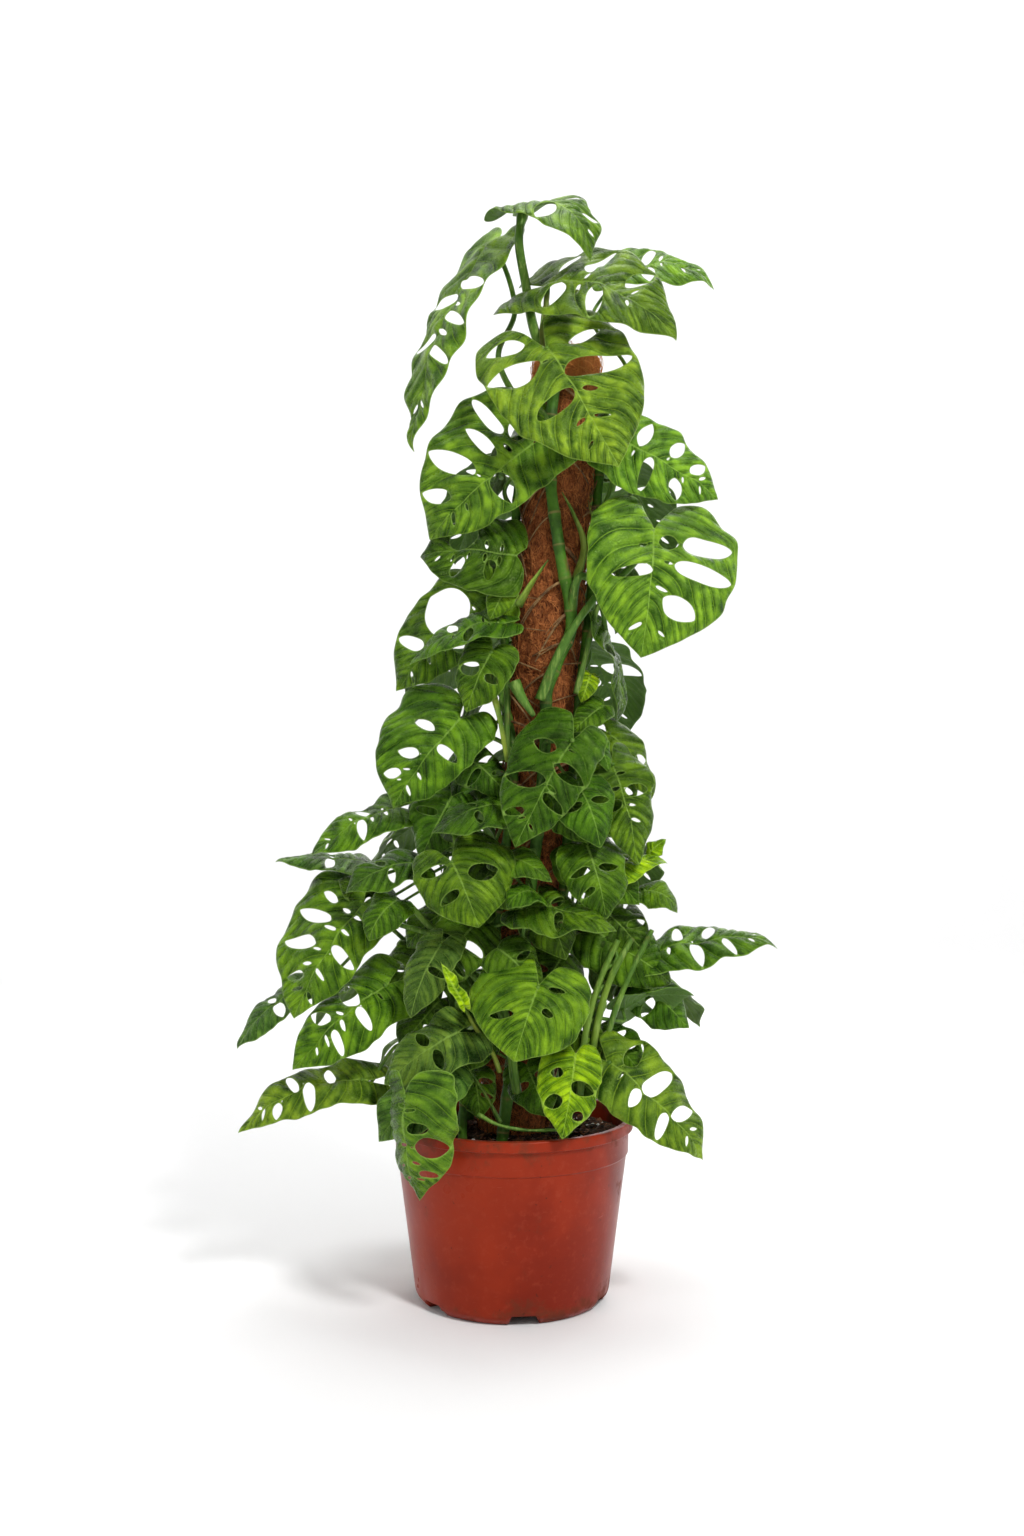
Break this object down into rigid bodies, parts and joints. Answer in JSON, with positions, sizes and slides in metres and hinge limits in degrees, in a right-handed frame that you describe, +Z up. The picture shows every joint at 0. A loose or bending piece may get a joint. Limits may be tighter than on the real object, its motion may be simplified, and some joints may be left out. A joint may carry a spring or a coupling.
{
  "type": "potted monstera obliqua",
  "caption": "Climbing monstera with long-holed leaves, trained up a leaning coir pole in a tapered round plastic nursery pot filled with soil.",
  "frame": {"origin": "on the pot's axis, at the flat underside of the pot's central foot pad", "axes": "+Z up along the pot's axis, -Y towards the front that the picture shows, +X to its right"},
  "size_m": [0.4488, 0.3206, 0.9173],
  "materials": {
    "pot_plastic": "satin, scuffed",
    "soil": "loose potting mix with perlite",
    "coir": "matted fibres",
    "stem": "smooth, satin",
    "leaf": "waxy satin, mottled",
    "leaf_lime": "waxy satin, young growth"
  },
  "bodies": {
    "root": {"pot": "pot_plastic", "soil": "soil", "pole": "coir", "stem_front": "stem", "stem_left": "stem", "stem_right": "stem", "stem_back": "stem", "stem_backLeft": "stem", "stem_backRight": "stem", "stem_lowLeft": "stem", "stem_lowRight": "stem", "stem_lowFront": "stem", "leaf_top": "leaf", "leaf_upper_left": "leaf", "leaf_upper_right": "leaf", "leaf_far_right": "leaf", "leaf_crown": "leaf", "leaf_left_big": "leaf", "leaf_right_upper": "leaf", "leaf_right_heart": "leaf", "leaf_left_dark": "leaf", "leaf_loop": "leaf", "leaf_band": "leaf", "leaf_nook": "leaf", "leaf_light": "leaf", "leaf_behind_light": "leaf", "leaf_young": "leaf_lime", "leaf_right_small": "leaf", "leaf_puckered": "leaf", "leaf_front": "leaf", "leaf_shade": "leaf", "leaf_shelf": "leaf", "leaf_ring": "leaf", "leaf_pointed": "leaf", "leaf_edge": "leaf", "leaf_mid_right": "leaf", "leaf_wing": "leaf", "leaf_low_wing": "leaf", "leaf_left_large": "leaf", "leaf_fold": "leaf", "leaf_bluish": "leaf", "leaf_rolled": "leaf_lime", "leaf_left_low": "leaf", "leaf_far_left": "leaf", "leaf_ragged": "leaf", "leaf_over_rim": "leaf", "leaf_hanging": "leaf", "leaf_heart": "leaf", "leaf_lime": "leaf_lime", "leaf_right_front": "leaf", "leaf_dark_under": "leaf", "leaf_right_reach": "leaf", "leaf_yellow": "leaf_lime", "spray_back_top": "leaf", "spray_back_high": "leaf", "spray_back_middle": "leaf", "spray_back_right": "leaf", "spray_back_left": "leaf", "spray_back_low": "leaf"}
  },
  "joints": []
}
